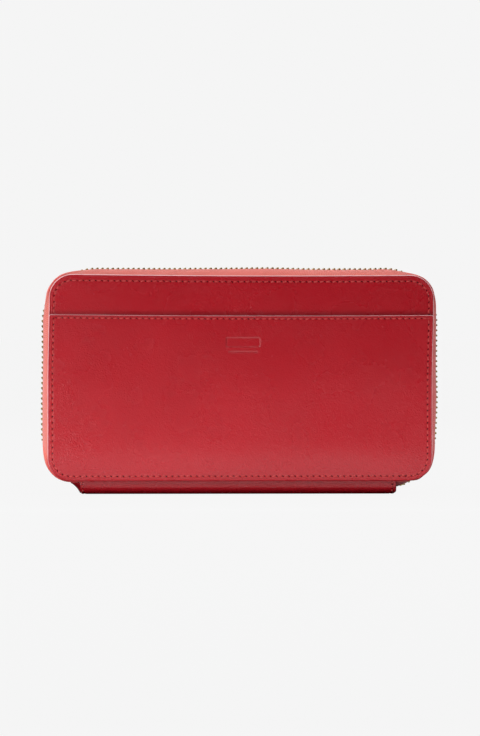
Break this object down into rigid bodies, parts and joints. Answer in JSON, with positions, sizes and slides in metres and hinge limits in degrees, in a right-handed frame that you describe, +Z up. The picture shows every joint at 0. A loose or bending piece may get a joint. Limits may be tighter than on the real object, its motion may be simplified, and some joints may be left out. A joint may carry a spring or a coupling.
{
  "type": "zip-around wallet",
  "caption": "Red leather travel wallet with two stiff covers, a zip round three sides, an outside slip pocket, card pockets and a zipped coin pocket.",
  "frame": {"origin": "middle of the flat underside of the spine, which the wallet stands on", "axes": "+X along the spine to the right as seen from the front cover, +Y from the front cover to the back cover, +Z up"},
  "size_m": [0.2006, 0.0252, 0.1142],
  "materials": {
    "cover_leather": "smooth, satin",
    "lining_leather": "matt",
    "zip_tape": "twill weave",
    "board": "matt",
    "brass": "aged, satin"
  },
  "bodies": {
    "spine": {"spine_leather": "cover_leather", "spine_lining": "lining_leather", "spine_end_tab": "cover_leather", "front_top_stop": "brass", "back_top_stop": "brass", "zip_bottom_stop": "brass"},
    "front_cover": {"card_pocket_1": "lining_leather", "card_pocket_2": "lining_leather", "card_pocket_3": "lining_leather", "card_pocket_4": "lining_leather", "front_board": "board", "front_lining": "lining_leather", "front_outer_leather": "cover_leather", "front_slip_pocket": "cover_leather", "front_zip_tape": "zip_tape", "front_zip_teeth": "brass"},
    "back_cover": {"back_board": "board", "back_lining": "lining_leather", "back_outer_leather": "cover_leather", "back_zip_tape": "zip_tape", "back_zip_teeth": "brass", "coin_coil_lower": "brass", "coin_coil_upper": "brass", "coin_pocket_header": "lining_leather", "coin_pocket_panel": "lining_leather", "coin_stop_left": "brass", "coin_stop_right": "brass", "coin_tape_lower": "zip_tape", "coin_tape_upper": "zip_tape", "note_pocket": "lining_leather"},
    "main_slider": {"slider_body": "brass", "slider_crown": "brass", "slider_lock_spring": "brass"},
    "main_pull": {"slider_pull": "brass"},
    "coin_slider": {"coin_slider_body": "brass", "coin_slider_crown": "brass"},
    "coin_pull": {"coin_pull": "brass"}
  },
  "joints": [
    {"name": "front_cover_fold", "type": "hinge", "parent": "spine", "child": "front_cover", "pos_m": [0, -0.0111, 0.00635], "axis": [1, 0, 0], "range_deg": [0, 90], "deforming": ["front_zip_tape", "front_zip_teeth"]},
    {"name": "back_cover_fold", "type": "hinge", "parent": "spine", "child": "back_cover", "pos_m": [0, 0.0111, 0.00635], "axis": [-1, 0, 0], "range_deg": [0, 90], "deforming": ["back_zip_tape", "back_zip_teeth"]},
    {"name": "main_slider_travel", "type": "hinge", "parent": "spine", "child": "main_slider", "pos_m": [-0.05084, 0, 0.04803], "axis": [0, -1, 0], "range_deg": [-60, 0], "deforming": ["front_zip_tape", "back_zip_tape", "front_zip_teeth", "back_zip_teeth"]},
    {"name": "main_pull_pivot", "type": "hinge", "parent": "main_slider", "child": "main_pull", "pos_m": [-0.08476, 0, 0.00882], "axis": [0, -1, 0], "range_deg": [0, 70]},
    {"name": "coin_slider_travel", "type": "slide", "parent": "back_cover", "child": "coin_slider", "axis": [1, 0, 0], "range_m": [0, 0.146]},
    {"name": "coin_pull_pivot", "type": "hinge", "parent": "coin_slider", "child": "coin_pull", "pos_m": [-0.0688, 0.00325, 0.078], "axis": [0, 0, 1], "range_deg": [0, 40]}
  ]
}
